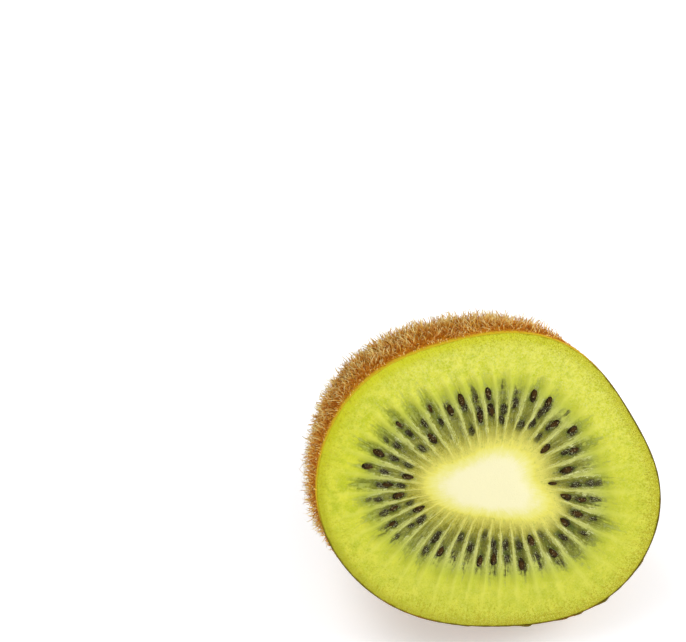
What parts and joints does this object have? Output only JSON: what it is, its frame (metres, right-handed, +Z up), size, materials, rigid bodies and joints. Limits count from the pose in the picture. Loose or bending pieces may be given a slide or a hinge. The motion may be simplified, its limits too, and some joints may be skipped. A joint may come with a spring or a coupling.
{
  "type": "kiwi fruit half",
  "caption": "Half of a green kiwi fruit cut straight across, lying on its fuzzy round side with the cut face leaning back, pale core and dark seeds showing.",
  "frame": {"origin": "middle of the small flat spot that the half rests on", "axes": "+Z up, +X across the cut face, -Y the side that the cut face looks towards, leaning back by 30 degrees"},
  "size_m": [0.0524, 0.0437, 0.0454],
  "materials": {
    "flesh": "moist, slightly translucent green flesh with a pale core",
    "skin": "thin brown skin, dull",
    "fuzz": "short golden brown hairs",
    "seed": "wet, dark brown seeds"
  },
  "bodies": {
    "root": {"kiwi_half": "flesh"}
  },
  "joints": []
}
